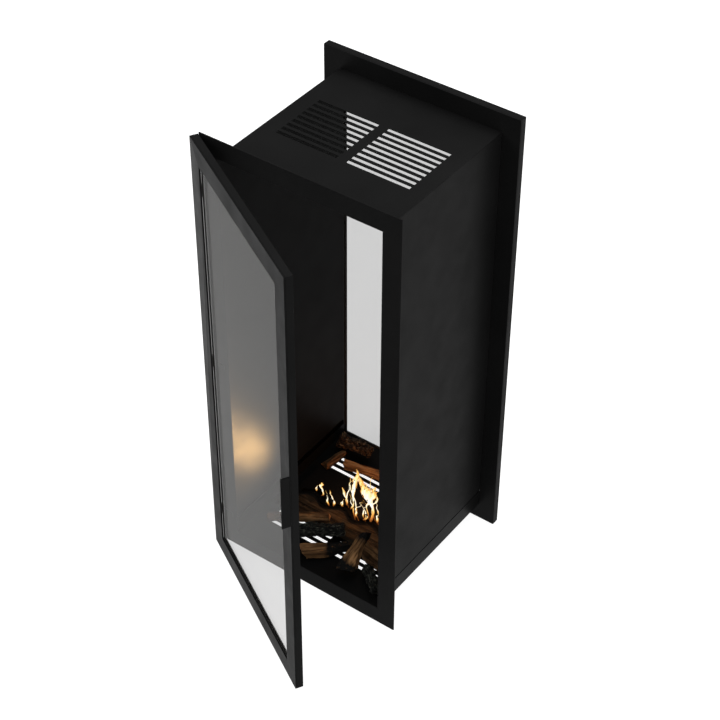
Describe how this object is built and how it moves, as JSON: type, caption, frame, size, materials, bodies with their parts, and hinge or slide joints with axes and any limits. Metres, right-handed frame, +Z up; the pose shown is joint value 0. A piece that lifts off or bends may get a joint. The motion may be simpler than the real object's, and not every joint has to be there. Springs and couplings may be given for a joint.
{
  "type": "wood burning stove",
  "caption": "Tall see-through built-in fire: black steel casing between two flange plates, side-hinged glass door, vented top, slotted floor, burner with a bed of logs.",
  "frame": {"origin": "middle of the front flange plate's lower edge, in the plate's mid-plane: the mount front_edge_rest", "axes": "+Z up along the tall side; +Y from the door to the rear window; +X to the right for someone facing the door, which hangs on the left"},
  "size_m": [0.5231, 0.7425, 1.2],
  "materials": {
    "black_coat": "matt black heat-proof coating on folded sheet",
    "fire_steel": "black steel lining of the fire, a little smoother",
    "bare_steel": "plain steel clamp strips, pins and screws",
    "ceramic_glass": "clear ceramic glass, slightly grey",
    "tape_fibre": "woven glass-fibre tape",
    "magnet_case": "black housing of a magnet",
    "board_ceramic": "wood-patterned fire ceramic, scorched",
    "bark": "rough bark",
    "split_wood": "split wood with long fibres",
    "char": "charred bark"
  },
  "bodies": {
    "stove_body": {"front_plate": "black_coat", "rear_plate": "black_coat", "top_panel": "black_coat", "base_tray": "fire_steel", "left_side_panel": "black_coat", "left_lap_strip": "fire_steel", "right_side_panel": "black_coat", "right_lap_strip": "fire_steel", "rear_window_frame": "black_coat", "rear_window_edge_band": "black_coat", "rear_glass_tape": "tape_fibre", "rear_glass": "ceramic_glass", "rear_clamp_bar_left": "fire_steel", "rear_clamp_bar_right": "fire_steel", "rear_clamp_bar_bottom": "fire_steel", "rear_clamp_bar_top": "fire_steel", "burner_trough": "fire_steel", "burner_cover": "fire_steel", "hearth_board_front": "board_ceramic", "hearth_board_rear": "board_ceramic", "rear_bark_log": "bark", "rear_split_log": "split_wood", "rear_left_split_log": "split_wood", "rear_right_bark_log": "bark", "left_split_log": "split_wood", "front_bark_log": "char", "front_split_log": "split_wood", "leaning_split_log": "split_wood", "right_split_log": "split_wood", "front_right_bark_log": "char", "hinge_plate_half_1": "black_coat", "hinge_pin_1": "bare_steel", "hinge_plate_half_2": "black_coat", "hinge_pin_2": "bare_steel", "hinge_plate_half_3": "black_coat", "hinge_pin_3": "bare_steel"},
    "front_door": {"door_frame": "black_coat", "door_edge_band": "black_coat", "door_glass_tape": "tape_fibre", "door_glass": "ceramic_glass", "door_clamp_bar_left": "bare_steel", "door_clamp_bar_right": "bare_steel", "door_clamp_bar_bottom": "bare_steel", "door_clamp_bar_top": "bare_steel", "hinge_door_half_1": "black_coat", "hinge_door_half_2": "black_coat", "hinge_door_half_3": "black_coat", "door_pull": "black_coat", "pull_screw_1": "bare_steel", "pull_screw_2": "bare_steel", "door_magnet_1": "magnet_case", "door_magnet_2": "magnet_case"}
  },
  "joints": [
    {"name": "front_door_hinge", "type": "hinge", "parent": "stove_body", "child": "front_door", "pos_m": [-0.2532, -0.0056, 0.6], "axis": [0, 0, -1], "range_deg": [-30, 60]}
  ]
}
